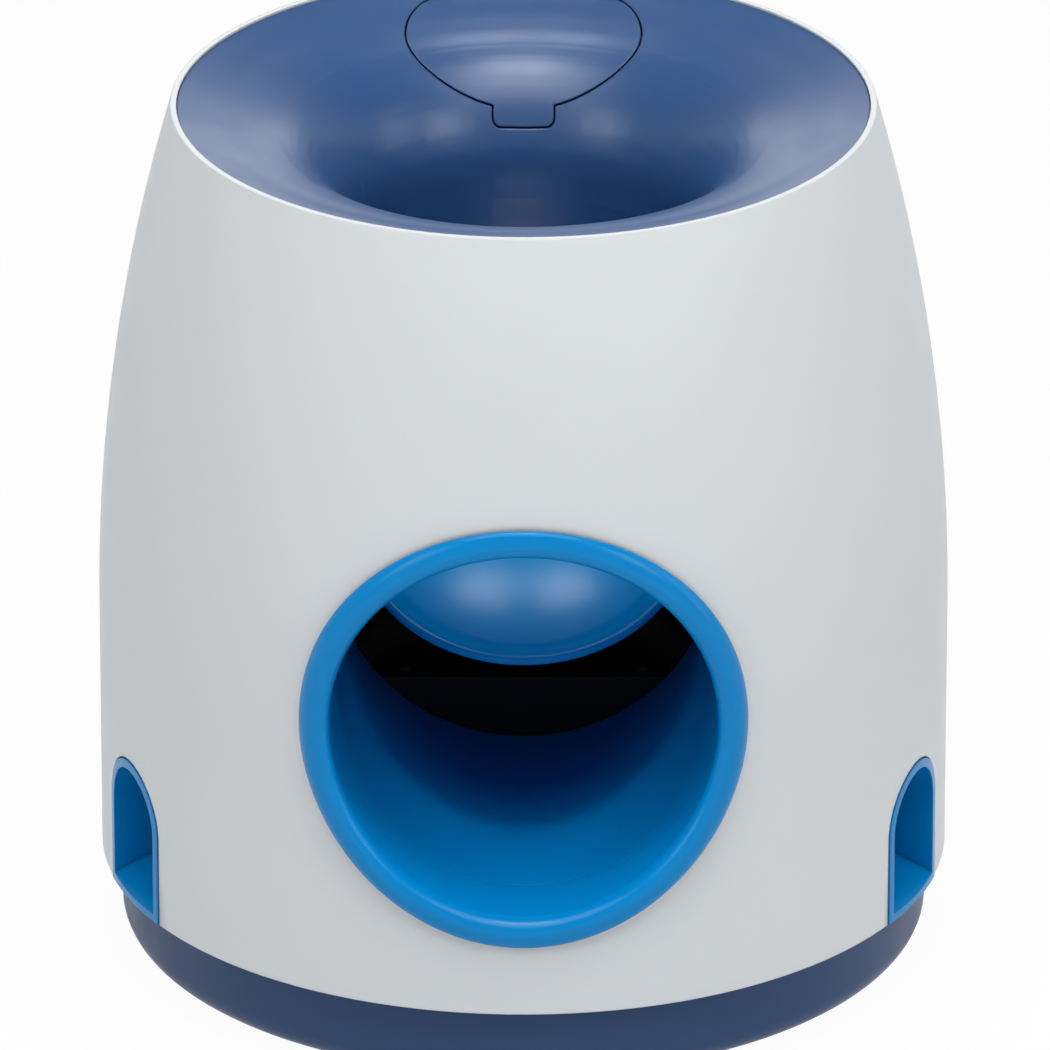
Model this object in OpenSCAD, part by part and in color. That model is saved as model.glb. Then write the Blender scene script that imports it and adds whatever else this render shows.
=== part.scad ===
// Dog treat puzzle: a ball dropped into the funnel tips a flap, and treats slide out at both sides.
// Millimetres, +Z up, the ball outlet faces -Y, origin on the floor under the middle of the toy.

/* [Shell] */
// Outer radius of the straight lower wall
shell_r = 85; // [83:0.5:90]
// Height of the rim above the floor
rim_h = 177; // [172:0.5:184]
// Height of the shell's lower edge above the floor
shell_foot = 18; // [15:0.5:20]
// Height at which the wall starts to lean in
belly_h = 70; // [64:1:76]
// Radius of the arc that leans the wall in
belly_arc = 384; // [370:2:410]
// Wall thickness of the shell
shell_wall = 2.5; // [2:0.1:3]
// Width of the shell's edge that shows round the funnel
lip_w = 1.35; // [1:0.05:2]

/* [Funnel] */
// Bore radius of the throat
throat_r = 38.6; // [37:0.2:40]
// Slope of the dish at the rim, in degrees
dish_slope = 12; // [8:1:16]
// Slope of the dish where it turns into the throat, in degrees
bell_slope = 26; // [22:1:30]
// Radius of the turn into the throat
bell_r = 14; // [12:0.5:16]
// Skin thickness of the funnel
funnel_t = 2.2; // [1.8:0.1:2.6]

/* [Fill lid] */
// Half width of the lid
lid_a = 23.5; // [20:0.5:25]
// Length of the lid from its widest line to its lower edge
lid_b = 14.2; // [13:0.2:15]
// Width of the finger tab
tab_w = 12; // [9:0.5:16]
// Length of the finger tab
tab_l = 3.1; // [2:0.1:4]
// Gap round the lid
lid_gap = 0.4; // [0.3:0.05:0.6]

/* [Ball chute] */
// Height of the chute's axis above the floor
chute_z = 77; // [75:0.5:79]
// Bore radius of the chute
chute_r = 38; // [37:0.2:39]
// Wall thickness of the chute
chute_wall = 2; // [1.6:0.1:2.4]
// Width of the rounded bezel, measured across its ring
bezel_w = 6; // [5:0.2:7]
// How far the bezel stands out of the shell at its top
bezel_h = 2.2; // [1.6:0.1:2.6]

/* [Treat exits] */
// Direction of the exits, in degrees from the front
exit_az = 67; // [62:1:72]
// Half width of the arch in the shell
arch_w = 12.5; // [11:0.25:13.5]
// Height of the top of the arch above the floor
arch_top = 48.8; // [44:0.4:52]
// Wall thickness of the exit ducts
duct_t = 1.8; // [1.4:0.1:2.2]
// Fall of the duct's floor, in degrees
duct_fall = 20; // [14:1:22]

/* [Ball flap] */
// Radius of the dished flap
flap_r = 34; // [31:0.5:35]
// Tilt of the flap at rest, in degrees
flap_tilt = 29; // [26:1:32]
// Depth of the dish
flap_dip = 4.5; // [3.5:0.25:6]
// Thickness of the flap
flap_t = 2; // [1.6:0.1:2.4]
// Radius of the flap's axle
axle_r = 2; // [1.5:0.1:2.5]
// Radius of the counterweights
weight_r = 7; // [6:0.25:7.5]

/* [Base] */
// Outer radius of the base pan
base_r = 81; // [79:0.5:82]
// Thickness of the base's floor
base_t = 3; // [2.5:0.1:4]
// Thickness of the rubber foot ring under the base's floor
foot_h = 1; // [0.6:0.1:1.4]
// Radius of the screws
screw_r = 1.5; // [1.2:0.1:1.75]

/* [Hidden] */
$fn = 96;

// Colours
shell_grey = "#d9dde0";
funnel_blue = "#4a6596";
light_blue = "#1a7ac0";
navy = "#2c435d";
steel = "#b9bcc0";
brass = "#b08d4c";
rubber = "#1d1f22";

// Clearances: fixed pieces, running fits of pins, and screws in their pilot holes
gap = 0.3;
run_gap = 0.06;
pilot_gap = 0.05;
hole_gap = 0.3;
// Overlap that joins pieces of one moulding
weld = 0.6;
far = 200;

// Shell and rim
function shell_out(z) = shell_r - belly_arc + sqrt(pow(belly_arc, 2) - pow(max(z - belly_h, 0), 2));
belly_c = [shell_r - belly_arc, belly_h];
lean_end = 30;
wall_steps = 6;
rim_r = shell_out(rim_h) - lip_w;
rim_step = 0.45;
rim_z = rim_h - rim_step;
rim_gap = 0.15;
seat_drop = 3.55;
seat_z = rim_z - seat_drop;
seat_w = 4;
seat_r = rim_r - seat_w;
seat_t = 2.2;
lug_az = [30, -30, 105, -105];
lug_in = 8.4;
lug_r = rim_r - lug_in;
lug_drop = 9.5;
lug_z = rim_z - lug_drop;
lug_t = 3;
lug_w = 10;
lug_over = 4.8;
lug_end = lug_r - lug_over;
boss_r = 4;

// Funnel profile: a wide dish arc, a tighter bell arc, a drafted wall and the straight throat
draft = 80;
draft_w = 3.6;
dish_arc = (rim_r - throat_r - draft_w - bell_r * (sin(draft) - sin(bell_slope)))
    / (sin(bell_slope) - sin(dish_slope));
dish_c = [rim_r + dish_arc * sin(dish_slope), rim_z - dish_arc * cos(dish_slope)];
bell_c = dish_c + (dish_arc - bell_r) * [-sin(bell_slope), cos(bell_slope)];
bell_end = bell_c.y + bell_r * cos(draft) - draft_w * tan(draft);
throat_end = (bell_end + chute_z + chute_r + chute_wall) / 2;
skirt_w = 2.5;

// Lid, measured on a plane that leans back with the slope
lid_in = 20.1;
lid_y = rim_r - lid_in;
lid_drop = 4.75;
lid_z = rim_z - lid_drop;
lid_lean = 45;
lid_step = 0.2;
lid_t = funnel_t - lid_step;
lid_rear_b = 18.5;
lid_back = 12.9;
lid_reach = 25;
tab_round = 1.4;
ledge_w = 2.5;
ledge_t = 1.8;
hinge_in = 4.2;
hinge_y = rim_r - hinge_in;
hinge_drop = 2.6;
hinge_z = rim_z - hinge_drop;
barrel_r = 2.5;
barrel_w = 6;
barrel_end = 11;
barrel_room = 0.5;
pin_r = 1;
pin_inset = 0.5;

// Chute, bezel and retaining ring
sleeve_r = chute_r + chute_wall;
sleeve_in = 15;
sleeve_y = sleeve_in - shell_r;
bezel_curve = 100;
bezel_seat = 0.25;
bezel_dip = 3.5;
bezel_steps = 72;
bead_steps = 12;
ring_t = 2.6;
ring_w = 4.7;

// Ball guide under the throat
guide_step = 0.2;
guide_r = throat_r - guide_step;
guide_wall = 2;
guide_drop = 5;
guide_foot = chute_z - guide_drop;
guide_top = throat_end - gap;
collar_h = (bell_end - throat_end) / 2;
throat_out = throat_r + funnel_t;
ear_w = 9;
ear_h = 12;
ear_t = 6;
end_t = 2;
end_drop = 25;
end_top = chute_z - end_drop;

// Axle of the flap, behind the guide's wall
axle_back = 3.6;
axle_y = guide_r + axle_back;
axle_rise = 29;
axle_z = chute_z + axle_rise;
axle_c = [axle_y, axle_z];
slot_drop = 11;
slot_foot = axle_z - slot_drop;
slot_h = 20;
axle_half = 23;
hub_r = 5.5;
hub_w = 10;
cheek_x = 14;
cheek_t = 3.5;
cheek_r = 6.5;
bush_r = 3.5;
bush_flange = 1;
lever_x = 19;
lever_t = 3;
lever_hub_r = 5;
lever_w = 3;
weight_x = cheek_x + cheek_t + bush_flange + gap;
weight_l = 12.2;
weight_drop = 4.5;
weight_room = 5.1;
weight_back = sqrt(pow(shell_out(axle_z) - shell_wall, 2) - pow(weight_x + weight_l, 2)) - weight_room;
weight_c = [weight_back - weight_r - axle_y, -weight_drop];
eye_t = 1.5;
stop_w = 2.5;
stop_t = 3;
stop_y = axle_y + weight_c.x - stop_w / 2;
stop_z = axle_z - weight_drop - weight_r - eye_t - gap;

// Flap, placed by its lip: a flat floor with a wall that turns up all round
flap_front = 3;
flap_rise = 9.5;
flap_c = [0, -flap_front, chute_z + flap_rise];
flap_bend = 7;
flap_arc = (pow(flap_bend, 2) + pow(flap_dip, 2)) / (2 * flap_dip);
flap_edge = flap_t / 2;
flap_turn = asin(flap_bend / flap_arc);
flap_floor = flap_r - flap_edge - (flap_arc + flap_edge) * sin(flap_turn);
bend_c = [flap_floor, flap_arc - flap_dip];
arm_w = 14;
arm_t = 3.5;
arm_in = 4;
arm_root = flap_r - arm_in;
arm_l = norm([axle_y - flap_c.y, axle_z - flap_c.z]) - arm_root;

// Shutter and hopper, both set out round the axle
outlet_a = 52;
outlet_x = 13;
outlet_y = 4.5;
shutter_r = 30.2;
shutter_t = 1.4;
shutter_x = 15;
shutter_from = -12.4;
shutter_to = 11.4;
rib_x = 10.4;
rib_t = 2;
neck_gap = 0.5;
neck_r = shutter_r + neck_gap;
neck_over = 4;
hopper_floor = 36;
hopper_t = 2;
hopper_off = 3.2;
hopper_in = throat_out + hopper_off;
hopper_over = 1.6;
hopper_out = rim_r + hopper_over;
hopper_half = 48;
flange_a = 44;
flange_in = 8.6;
flange_r = rim_r - flange_in;
flange_w = 10;
flange_drop = 13.5;
flange_z = rim_z - flange_drop;
flange_c = flange_r * [sin(flange_a), cos(flange_a)];
// Slope of the hopper's two floors, which pass above the ends of its flange
floor_over = 13.5;
hopper_v = atan(((flange_c.y - axle_y) * cos(outlet_a) + (flange_z + floor_over - axle_z) * sin(outlet_a)
    - hopper_floor) / flange_c.x);

// Treat exits, slide and base
spring_z = arch_top - arch_w;
duct_in = 62;
duct_lip = 0.2;
collar_w = 2.5;
collar_t = 2.4;
mouth_step = 1.5;
duct_mouth_z = shell_foot + mouth_step;
function duct_floor(r) = duct_mouth_z + (shell_r - r) * tan(duct_fall);
slide_end = [duct_in * sin(exit_az), -duct_in * cos(exit_az), duct_floor(duct_in)];
slide_back = 62;
slide_lift = 44.5;
slide_top = [0, slide_back, shell_foot + slide_lift];
slide_run = norm([slide_top.x - slide_end.x, slide_top.y - slide_end.y]);
slide_turn = atan2(slide_end.x - slide_top.x, slide_top.y - slide_end.y);
slide_rise = atan((slide_top.z - slide_end.z) / slide_run);
slide_w = 24;
slide_t = 2;
slide_wall = 11;
slide_in = 5.5;
slide_r = shell_r - slide_in;
leg_side = 46;
leg_back = 50;
slide_legs = [[leg_side, 0], [-leg_side, 0], [0, leg_back]];
leg_r = 4.5;
base_wall = 2.5;
base_round = 5;
spigot_h = 4;
spigot_r = shell_r - shell_wall - gap;
post_r = 5;
post_az = [28, -28, 145, -145];
post_in = 11;
post_at = shell_r - post_in;
post_boss = 11;
post_boss_r = 4.5;
leg_seat = 10;
head_r = 3;
head_h = 2;
head_seat = 5;
lug_bite = 3.5;
ear_bite = 4.5;
leg_bite = 8;
tip_room = 0.6;
foot_in = 56;
foot_out = 66;
foot_sunk = 1.2;

// Helpers

// Steps of a full circle, finer on the large arcs
function arc_steps(r) = r > 60 ? 720 : $fn;

// Sector of a disc between two polar angles
module pie(c, r, a1, a2) {
    intersection() {
        translate(c) circle(r, $fn = arc_steps(r));
        polygon([c, c + 2 * r * [cos(a1), sin(a1)], c + 2 * r * [cos(a2), sin(a2)]]);
    }
}

// Band of thickness t inside an arc of radius r
module arc_band(c, r, t, a1, a2) {
    difference() {
        pie(c, r, a1, a2);
        translate(c) circle(r - t, $fn = arc_steps(r));
    }
}

// Places children at an angle from the front and a radius from the middle
module at_az(az, r) {
    rotate([0, 0, az]) translate([0, -r, 0]) children();
}

// Extrudes an outline drawn in Y and Z along X
module along_x(x1, x2) {
    translate([x1, 0, 0]) rotate([90, 0, 90]) linear_extrude(x2 - x1) children();
}

// Extrudes an outline drawn in Y and Z by w, on both sides at a distance x from the middle
module both_sides(x, w) {
    for (s = [0, 1]) mirror([s, 0, 0]) along_x(x, x + w) children();
}

// Pan head screw that points up, with its seat at z = 0
module screw(length) {
    translate([0, 0, -head_h]) cylinder(r = head_r, h = head_h);
    cylinder(r = screw_r, h = length - screw_r);
    translate([0, 0, length - screw_r]) cylinder(r1 = screw_r, r2 = screw_r / 3, h = screw_r);
}

// Corners of the space under the funnel, pushed down by off, without the two arcs
function funnel_corners(off) = let (
    top = dish_c + (dish_arc - off) * [-sin(dish_slope), cos(dish_slope)],
    bend = dish_c + (dish_arc - off) * [-sin(bell_slope), cos(bell_slope)],
    turn = bell_c + (bell_r - off) * [-sin(draft), cos(draft)],
    fall = (turn.x - throat_r - off) * tan(draft))
    [top, bend, turn, [throat_r + off, turn.y - fall], [throat_r + off, throat_end], [top.x, throat_end]];

// Outline of everything under the funnel's surface, pushed down by off
module funnel_under(off) {
    polygon(funnel_corners(off));
    pie(dish_c, dish_arc - off, 90 + dish_slope, 90 + bell_slope);
    pie(bell_c, bell_r - off, 90 + bell_slope, 90 + draft);
}

// Layer of the funnel's skin between two depths
module skin_outline(from, to) {
    intersection() {
        difference() {
            funnel_under(from);
            funnel_under(to);
        }
        square([rim_r, far]);
    }
}

module skin(from, to) {
    rotate_extrude() skin_outline(from, to);
}

// Half of an oval with its straight side on the X axis
function half_oval(a, b, from) = [for (t = [from : 6 : from + 180]) [a * cos(t), b * sin(t)]];

// Rounded corner as points on a quarter circle
function corner(c, r, from) = r > 0 ? [for (t = [from : 15 : from + 90]) c + r * [cos(t), sin(t)]] : [c];

// Lower half of the lid's outline with the finger tab, grown by g
module lid_front(g) {
    half = tab_w / 2 + g;
    low = lid_b + tab_l + g;
    r = max(tab_round + g, 0);
    polygon(concat(half_oval(lid_a + g, lid_b + g, 180), [[lid_a + g, weld], [-lid_a - g, weld]]));
    polygon(concat(corner([r - half, r - low], r, 180), corner([half - r, r - low], r, 270),
        [[half, 0], [-half, 0]]));
}

// Rear half of the lid's outline in plan, grown by g
module lid_rear(g) {
    intersection() {
        polygon(half_oval(lid_a + g, lid_rear_b + g, 0));
        translate([-far / 2, 0]) square([far, lid_back + g]);
    }
}

// Space of the lid: its front edge leans with the slope, its rear edge is upright
module lid_space(g) {
    translate([0, lid_y, lid_z]) {
        rotate([lid_lean, 0, 0]) translate([0, 0, -lid_reach]) linear_extrude(2 * lid_reach) lid_front(g);
        translate([0, 0, -lid_reach]) linear_extrude(2 * lid_reach) lid_rear(g);
    }
}

// Arch of a treat exit in its own upright plane, grown by g
module arch(g) {
    translate([-arch_w - g, shell_foot]) square([2 * (arch_w + g), spring_z - shell_foot]);
    translate([0, spring_z]) circle(arch_w + g);
}

// Arch extruded outwards between two radii at the direction of an exit
module arch_run(az, g, r1, r2) {
    at_az(az, r1) rotate([90, 0, 0]) linear_extrude(r2 - r1) arch(g);
}

// Upright cylinder of the given radius through the whole toy
module column(r) {
    translate([0, 0, -far / 2]) cylinder(r = r, h = 2 * far);
}

// Level cylinder along the chute's axis between two values of Y
module along_chute(r, y1, y2) {
    translate([0, y2, chute_z]) rotate([90, 0, 0]) cylinder(r = r, h = y2 - y1);
}

// Places children round the axle, with local Z towards the hopper's outlet
module at_outlet() {
    translate([0, axle_y, axle_z]) rotate([outlet_a - 90, 0, 0]) children();
}

// Base

module base_pan() color(navy) difference() {
    union() {
        rotate_extrude() {
            translate([0, foot_h]) square([base_r - base_round, base_t]);
            translate([base_r - base_wall, foot_h + base_round])
                square([base_wall, shell_foot - foot_h - base_round]);
            arc_band([base_r - base_round, foot_h + base_round], base_round, base_t, -90, 0);
        }
        base_spigot();
        for (az = post_az) at_az(az, post_at) translate([0, 0, foot_h + weld])
            cylinder(r = post_r, h = shell_foot - foot_h - weld);
        for (p = slide_legs) translate([p.x, p.y, foot_h + weld])
            cylinder(r = post_r, h = leg_seat - foot_h - weld);
    }
    rotate_extrude() translate([foot_in - gap, 0])
        square([foot_out - foot_in + 2 * gap, foot_h + foot_sunk]);
    for (az = post_az) at_az(az, post_at) screw_hole();
    for (p = slide_legs) translate([p.x, p.y, 0]) screw_hole();
}

// Ring that stands up inside the shell's lower edge, open at the bosses and the exits
module base_spigot() difference() {
    rotate_extrude() {
        translate([base_r - base_wall, shell_foot - weld]) square([base_wall, spigot_h + weld]);
        translate([base_r - base_wall, shell_foot]) square([spigot_r - base_r + base_wall, spigot_h]);
    }
    for (az = post_az) at_az(az, post_at) translate([-boss_r / 2 - gap, -far, shell_foot])
        cube([boss_r + 2 * gap, far, far]);
    for (s = [-1, 1]) arch_run(s * exit_az, collar_w + gap, shell_r / 2, far);
}

// Stepped hole for a screw that enters from below
module screw_hole() {
    translate([0, 0, -far]) cylinder(r = screw_r + hole_gap, h = 2 * far);
    translate([0, 0, -far]) cylinder(r = head_r + hole_gap, h = far + head_seat);
}

module foot_ring() color(rubber) rotate_extrude()
    translate([foot_in, 0]) square([foot_out - foot_in, foot_h + foot_sunk]);

module base_screws() color(steel)
    for (az = post_az) at_az(az, post_at) translate([0, 0, head_seat])
        screw(shell_foot - head_seat + leg_bite);

module slide_screws() color(steel)
    for (p = slide_legs) translate([p.x, p.y, head_seat]) screw(leg_seat - head_seat + leg_bite);

// Shell

// Space inside the shell at the given depth under its surface, in straight steps
module inside(depth) {
    heights = [for (i = [0 : wall_steps]) belly_h + (rim_h - belly_h) * i / wall_steps];
    polygon(concat([[0, 0], [shell_r - depth, 0]],
        [for (z = heights) [shell_out(z) - depth, z]],
        [[shell_out(rim_h) - depth, far], [0, far]]));
}

module shell_profile() {
    difference() {
        union() {
            translate([0, shell_foot]) square([shell_r, belly_h - shell_foot]);
            intersection() {
                pie(belly_c, belly_arc, 0, lean_end);
                translate([0, belly_h]) square([shell_r, rim_h - belly_h]);
            }
        }
        inside(shell_wall);
        translate([0, seat_z]) square([rim_r + rim_gap, far]);
    }
    polygon([[seat_r, seat_z], [seat_r, seat_z - seat_t],
        [shell_out(lug_z) - shell_wall / 2, lug_z - lug_t / 2],
        [shell_out(seat_z) - shell_wall / 2, seat_z]]);
}

module body_shell() color(shell_grey) difference() {
    union() {
        rotate_extrude() shell_profile();
        // Lugs under the rim for the funnel's screws
        intersection() {
            for (az = lug_az) at_az(az, lug_end) translate([-lug_w / 2, -shell_r / 2, lug_z - lug_t])
                cube([lug_w, shell_r / 2, lug_t]);
            column(shell_out(lug_z) - shell_wall / 2);
        }
        // Bosses at the lower edge for the base's screws
        intersection() {
            for (az = post_az) at_az(az, post_at) translate([0, 0, shell_foot]) {
                cylinder(r = post_boss_r, h = post_boss);
                translate([-boss_r / 2, -shell_r / 4, 0]) cube([boss_r, shell_r / 4, post_boss]);
            }
            column(shell_r - shell_wall / 2);
        }
    }
    along_chute(sleeve_r + gap, -far, 0);
    for (s = [-1, 1]) arch_run(s * exit_az, 0, shell_r / 2, far);
    for (az = lug_az) at_az(az, lug_r) translate([0, 0, lug_z - 2 * lug_t])
        cylinder(r = screw_r + hole_gap, h = 3 * lug_t);
    for (az = post_az) at_az(az, post_at) translate([0, 0, shell_foot - 1])
        cylinder(r = screw_r + pilot_gap, h = leg_bite + tip_room + 1);
    // Room in the seat for the lid's hinge
    translate([-barrel_end - barrel_room, lid_y, lug_z])
        cube([2 * (barrel_end + barrel_room), hinge_y + barrel_r + barrel_room - lid_y, far]);
}

// Funnel and lid

module funnel_bosses() {
    intersection() {
        union() {
            for (az = lug_az) at_az(az, lug_r) translate([0, 0, lug_z]) cylinder(r = boss_r, h = far);
            at_flange(0) cylinder(r = boss_r, h = far);
        }
        rotate_extrude() funnel_under(funnel_t - weld);
    }
}

module funnel() color(funnel_blue) difference() {
    union() {
        rotate_extrude() {
            skin_outline(0, funnel_t);
            intersection() {
                translate([rim_r - skirt_w, seat_z]) square([skirt_w, rim_z - seat_z]);
                funnel_under(funnel_t - weld);
            }
        }
        // Ledge that the lid lies on
        intersection() {
            skin(funnel_t - weld, funnel_t + ledge_t);
            lid_space(ledge_w);
            column(seat_r - gap);
        }
        funnel_bosses();
        for (s = [-1, 1]) translate([0, hinge_y, hinge_z]) rotate([0, s * 90, 0])
            translate([0, 0, barrel_w + lid_gap])
                cylinder(r = barrel_r, h = barrel_end - barrel_w - lid_gap);
    }
    intersection() {
        skin(-weld, funnel_t);
        lid_space(lid_gap);
        translate([-far / 2, 0, 0]) cube([far, hinge_y - barrel_r - lid_gap, far]);
    }
    lid_space(-ledge_w);
    // Notch for the lid's hinge barrel
    translate([-barrel_w - lid_gap, lid_y + lid_back - weld, hinge_z - 2 * barrel_r])
        cube([2 * (barrel_w + lid_gap), hinge_y + barrel_r + lid_gap - lid_y - lid_back + weld, far]);
    translate([-barrel_end - 1, hinge_y, hinge_z]) rotate([0, 90, 0])
        cylinder(r = pin_r + pilot_gap, h = 2 * barrel_end + 2);
    for (az = lug_az) at_az(az, lug_r) translate([0, 0, lug_z - 1])
        cylinder(r = screw_r + pilot_gap, h = lug_bite + tip_room + 1);
    at_flange(-1) cylinder(r = screw_r + pilot_gap, h = lug_bite + tip_room + 1);
}

module funnel_screws() color(steel)
    for (az = lug_az) at_az(az, lug_r) translate([0, 0, lug_z - lug_t]) screw(lug_t + lug_bite);

module fill_lid() color(funnel_blue) difference() {
    union() {
        intersection() {
            skin(0, lid_t);
            lid_space(0);
            translate([-far / 2, 0, 0]) cube([far, hinge_y - barrel_r - 2 * lid_gap, far]);
        }
        // Tongue that reaches back to the hinge barrel
        intersection() {
            skin(0, lid_t);
            translate([-barrel_w, lid_y + lid_back / 2, 0])
                cube([2 * barrel_w, hinge_y - lid_y - lid_back / 2, far]);
        }
        translate([-barrel_w, hinge_y, hinge_z]) rotate([0, 90, 0])
            cylinder(r = barrel_r, h = 2 * barrel_w);
    }
    translate([-barrel_end, hinge_y, hinge_z]) rotate([0, 90, 0])
        cylinder(r = pin_r + run_gap, h = 2 * barrel_end);
}

module lid_hinge_pin() color(steel)
    translate([-barrel_end + pin_inset, hinge_y, hinge_z]) rotate([0, 90, 0])
        cylinder(r = pin_r, h = 2 * (barrel_end - pin_inset));

// Hopper

// Block above two floors that fall to a valley towards the outlet, raised by o
module hopper_block(o) {
    rise = far / 2 * tan(hopper_v);
    at_outlet() translate([0, far / 2, hopper_floor + o]) rotate([90, 0, 0]) linear_extrude(far)
        polygon([[0, 0], [far / 2, rise], [far / 2, far], [-far / 2, far], [-far / 2, rise]]);
}

// Ring sector behind the throat above the valley, shrunk by o
module hopper_form(o) {
    side = hopper_half - asin(o / hopper_in);
    intersection() {
        rotate([0, 0, 90 - side]) rotate_extrude(angle = 2 * side)
            translate([hopper_in + o, axle_z]) square([hopper_out - hopper_in - 2 * o, far]);
        hopper_block(o);
    }
}

// Space under the funnel that the hopper may fill, out to the shell's seat
module hopper_roof() {
    corners = funnel_corners(funnel_t + ledge_t + gap);
    intersection() {
        polygon(concat([for (i = [0 : 4]) corners[i]],
            [[corners[4].x, axle_z], [shell_r, axle_z], [shell_r, corners[0].y]]));
        polygon([[0, axle_z], [0, far], [seat_r - gap, far], [seat_r - gap, seat_z - seat_t - gap],
            [shell_out(lug_z) - shell_wall / 2, lug_z - lug_t / 2 - gap],
            [shell_out(axle_z) - shell_wall - gap, axle_z]]);
    }
}

// Places children at both ends of the hopper's flange, at a height above its upper face
module at_flange(z) {
    for (s = [-1, 1]) translate([s * flange_c.x, flange_c.y, flange_z + z]) children();
}

// Curved flange that hangs the hopper from two bosses of the funnel
module hopper_flange() {
    rotate([0, 0, 90 - flange_a]) rotate_extrude(angle = 2 * flange_a)
        translate([flange_r - flange_w / 2, flange_z - lug_t]) square([flange_w, lug_t]);
    at_flange(-lug_t) cylinder(r = flange_w / 2 + weld, h = lug_t);
}

module hopper() color(navy) difference() {
    intersection() {
        union() {
            hopper_form(0);
            at_outlet() translate([-outlet_x - hopper_t, -outlet_y - hopper_t, neck_r - neck_over])
                cube([2 * (outlet_x + hopper_t), 2 * (outlet_y + hopper_t),
                    hopper_floor - neck_r + 2 * neck_over]);
            hopper_flange();
        }
        rotate_extrude() hopper_roof();
    }
    hopper_form(hopper_t);
    at_outlet() translate([-outlet_x, -outlet_y, 0])
        cube([2 * outlet_x, 2 * outlet_y, hopper_floor + 2 * neck_over]);
    translate([-far / 2, axle_y, axle_z]) rotate([0, 90, 0]) cylinder(r = neck_r, h = far);
    at_flange(-2 * lug_t) cylinder(r = screw_r + hole_gap, h = 3 * lug_t);
}

module hopper_screws() color(steel)
    at_flange(-lug_t) screw(lug_t + lug_bite);

// Ball outlet

// Depth of the shell's surface and of the bezel's crest, which both lean back above the belly
function seat_y(x, z) = -sqrt(pow(shell_out(z) + bezel_seat, 2) - pow(x, 2));
function crest_y(x, z) = bezel_curve - shell_out(z) - bezel_h - sqrt(pow(bezel_curve, 2) - pow(x, 2));

// Point of the bezel's bead: a runs from its outer edge over the crest to the bore
function bead_point(turn, a) = let (
    r = chute_r + bezel_w / 2 * (1 + cos(a)),
    x = r * cos(turn),
    z = chute_z + r * sin(turn),
    foot = a < 90 ? seat_y(x, z) : crest_y(x, z) + bezel_dip)
    [x, foot + (crest_y(x, z) - foot) * sin(a), z];

// Ring of points of the bezel at one turn: sleeve first, then the bead
function bezel_ring(turn) = let (x = sleeve_r * cos(turn), z = chute_z + sleeve_r * sin(turn)) concat(
    [[chute_r * cos(turn), sleeve_y, chute_z + chute_r * sin(turn)], [x, sleeve_y, z], [x, seat_y(x, z), z]],
    [for (k = [0 : bead_steps]) bead_point(turn, 180 * k / bead_steps)]);

module chute_bezel() color(light_blue) {
    size = bead_steps + 4;
    total = bezel_steps * size;
    points = [for (i = [0 : bezel_steps - 1]) each bezel_ring(360 * i / bezel_steps)];
    faces = [for (i = [0 : bezel_steps - 1], j = [0 : size - 1])
        let (a = i * size + j, b = i * size + (j + 1) % size,
            c = (a + size) % total, d = (b + size) % total)
        each [[a, b, c], [b, d, c]]];
    polyhedron(points, faces);
}

module chute_ring() color(light_blue) intersection() {
    difference() {
        along_chute(sleeve_r + gap + ring_w, -shell_r, -shell_r / 2);
        along_chute(sleeve_r + gap, -far, 0);
    }
    rotate_extrude() difference() {
        inside(shell_wall + gap);
        inside(shell_wall + gap + ring_t);
    }
}

// Ear on both sides of the chute, between two values of Y
module ears(y1, y2) {
    for (s = [-1, 1]) translate([s > 0 ? sleeve_r - weld : -sleeve_r - ear_w, y1, chute_z - ear_h / 2])
        cube([ear_w + weld, y2 - y1, ear_h]);
}

// Holes or screws of the ears, which run forwards along the chute
module at_ears(y) {
    for (s = [-1, 1]) translate([s * (sleeve_r + ear_w / 2), y, chute_z]) rotate([90, 0, 0]) children();
}

module ball_chute() color(light_blue) difference() {
    union() {
        along_chute(sleeve_r, sleeve_y, 0);
        ears(-ear_t, 0);
    }
    along_chute(chute_r, -far, far);
    translate([0, 0, chute_z]) cylinder(r = guide_r, h = far);
    at_ears(weld) cylinder(r = screw_r + pilot_gap, h = ear_t);
}

module chute_screws() color(steel)
    at_ears(ear_t) screw(ear_t + ear_bite);

// Ball guide, flap and what turns with it

module cheek_outline() {
    translate(axle_c) circle(cheek_r);
    translate([guide_r - cheek_r, stop_z - stop_t])
        square([axle_y - guide_r + cheek_r, axle_z + cheek_r - stop_z + stop_t]);
    translate([guide_r - cheek_r, stop_z - stop_t]) square([stop_y + stop_w - guide_r + cheek_r, stop_t]);
}

module ball_guide() color(navy) difference() {
    union() {
        translate([0, 0, guide_foot]) cylinder(r = guide_r + guide_wall, h = guide_top - guide_foot);
        translate([0, 0, guide_top - guide_wall])
            cylinder(r = throat_out + gap + guide_wall, h = guide_wall + collar_h);
        ears(0, ear_t);
        along_chute(sleeve_r, 0, end_t);
        both_sides(cheek_x, cheek_t) cheek_outline();
        both_sides(cheek_x + cheek_t - weld, lever_x + lever_t - cheek_x - cheek_t + weld)
            translate([stop_y, stop_z - stop_t]) square([stop_w, stop_t]);
    }
    translate([0, 0, guide_foot - weld]) cylinder(r = guide_r, h = far);
    translate([0, 0, guide_top]) cylinder(r = throat_out + gap, h = far);
    along_chute(sleeve_r + gap, -far, 0);
    translate([-far / 2, -far, 0]) cube([far, far, chute_z + ear_h / 2 + gap]);
    // Opening above the end wall that keeps the ball in the chute
    intersection() {
        along_chute(chute_r, -far, end_t + weld);
        translate([-far / 2, -far, end_top]) cube([far, 2 * far, far]);
    }
    translate([-rib_x - rib_t - gap, guide_r / 2, slot_foot])
        cube([2 * (rib_x + rib_t + gap), guide_r, slot_h]);
    along_x(-far / 2, far / 2) translate(axle_c) circle(bush_r + pilot_gap / 2);
    at_ears(ear_t + 1) cylinder(r = screw_r + hole_gap, h = 2 * ear_t);
}

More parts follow.
